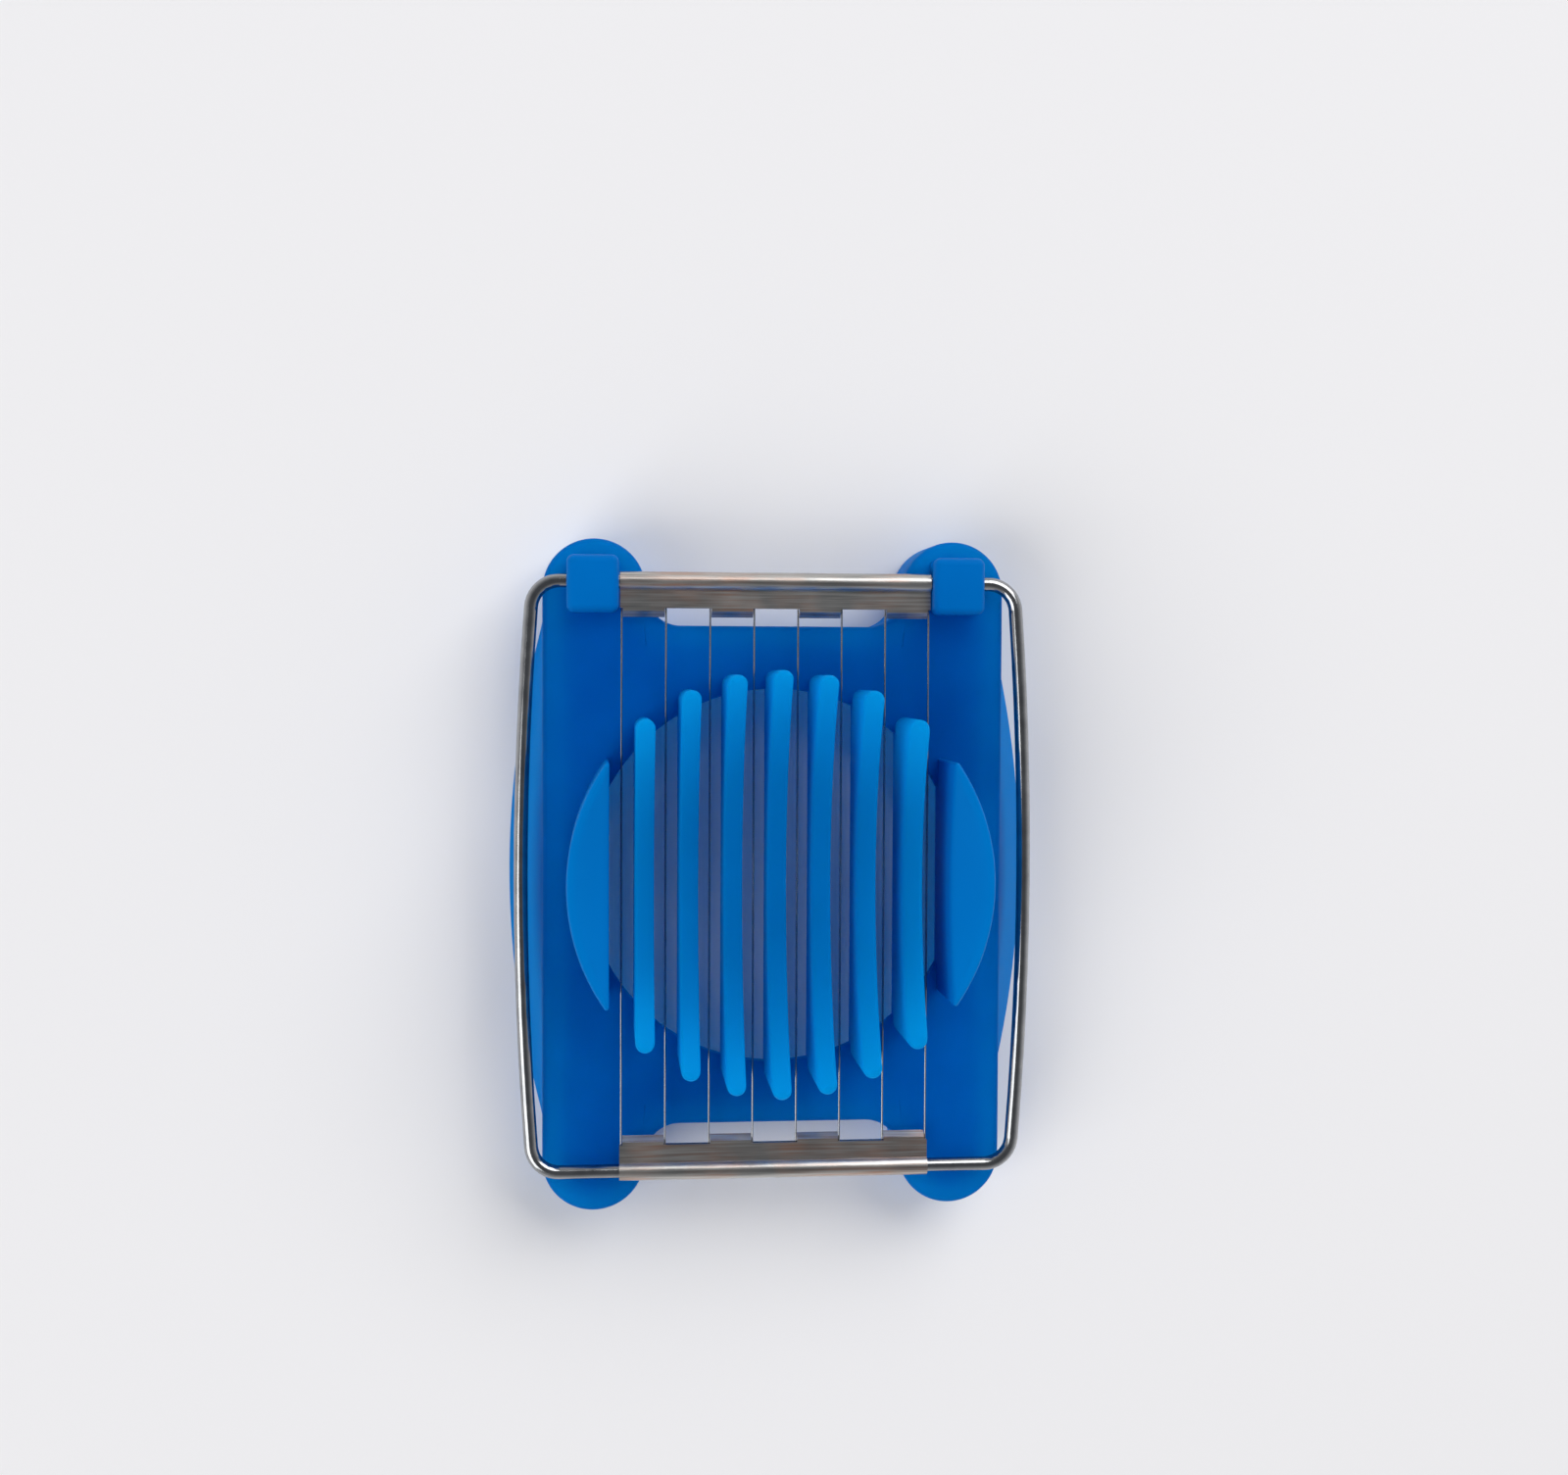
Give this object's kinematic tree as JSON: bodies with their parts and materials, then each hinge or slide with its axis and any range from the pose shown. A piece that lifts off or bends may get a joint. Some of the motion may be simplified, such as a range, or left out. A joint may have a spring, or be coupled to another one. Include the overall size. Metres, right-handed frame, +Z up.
{
  "type": "egg slicer",
  "caption": "Egg slicer: a moulded base with a slotted round dish between fins, and a hinged steel wire frame strung with thin slicing wires.",
  "frame": {"origin": "on the table under the middle of the base", "axes": "+X across the slicer, +Y towards the hinge, +Z up"},
  "size_m": [0.0856, 0.1074, 0.0274],
  "materials": {
    "base_plastic": "smooth moulded polystyrene, satin gloss",
    "frame_steel": "bright zinc-plated drawn steel wire",
    "tinplate": "bright tinplate with rolling lines",
    "slicing_steel": "drawn stainless wire"
  },
  "bodies": {
    "base": {"base": "base_plastic"},
    "cutter": {"frame_wire": "frame_steel", "hinge_strip": "tinplate", "front_strip": "tinplate", "slicing_wire_1": "slicing_steel", "slicing_wire_2": "slicing_steel", "slicing_wire_3": "slicing_steel", "slicing_wire_4": "slicing_steel", "slicing_wire_5": "slicing_steel", "slicing_wire_6": "slicing_steel", "slicing_wire_7": "slicing_steel", "slicing_wire_8": "slicing_steel"}
  },
  "joints": [
    {"name": "frame_hinge", "type": "hinge", "parent": "base", "child": "cutter", "pos_m": [0, 0.0469, 0.01374], "axis": [-1, 0, 0], "range_deg": [0, 180]}
  ]
}
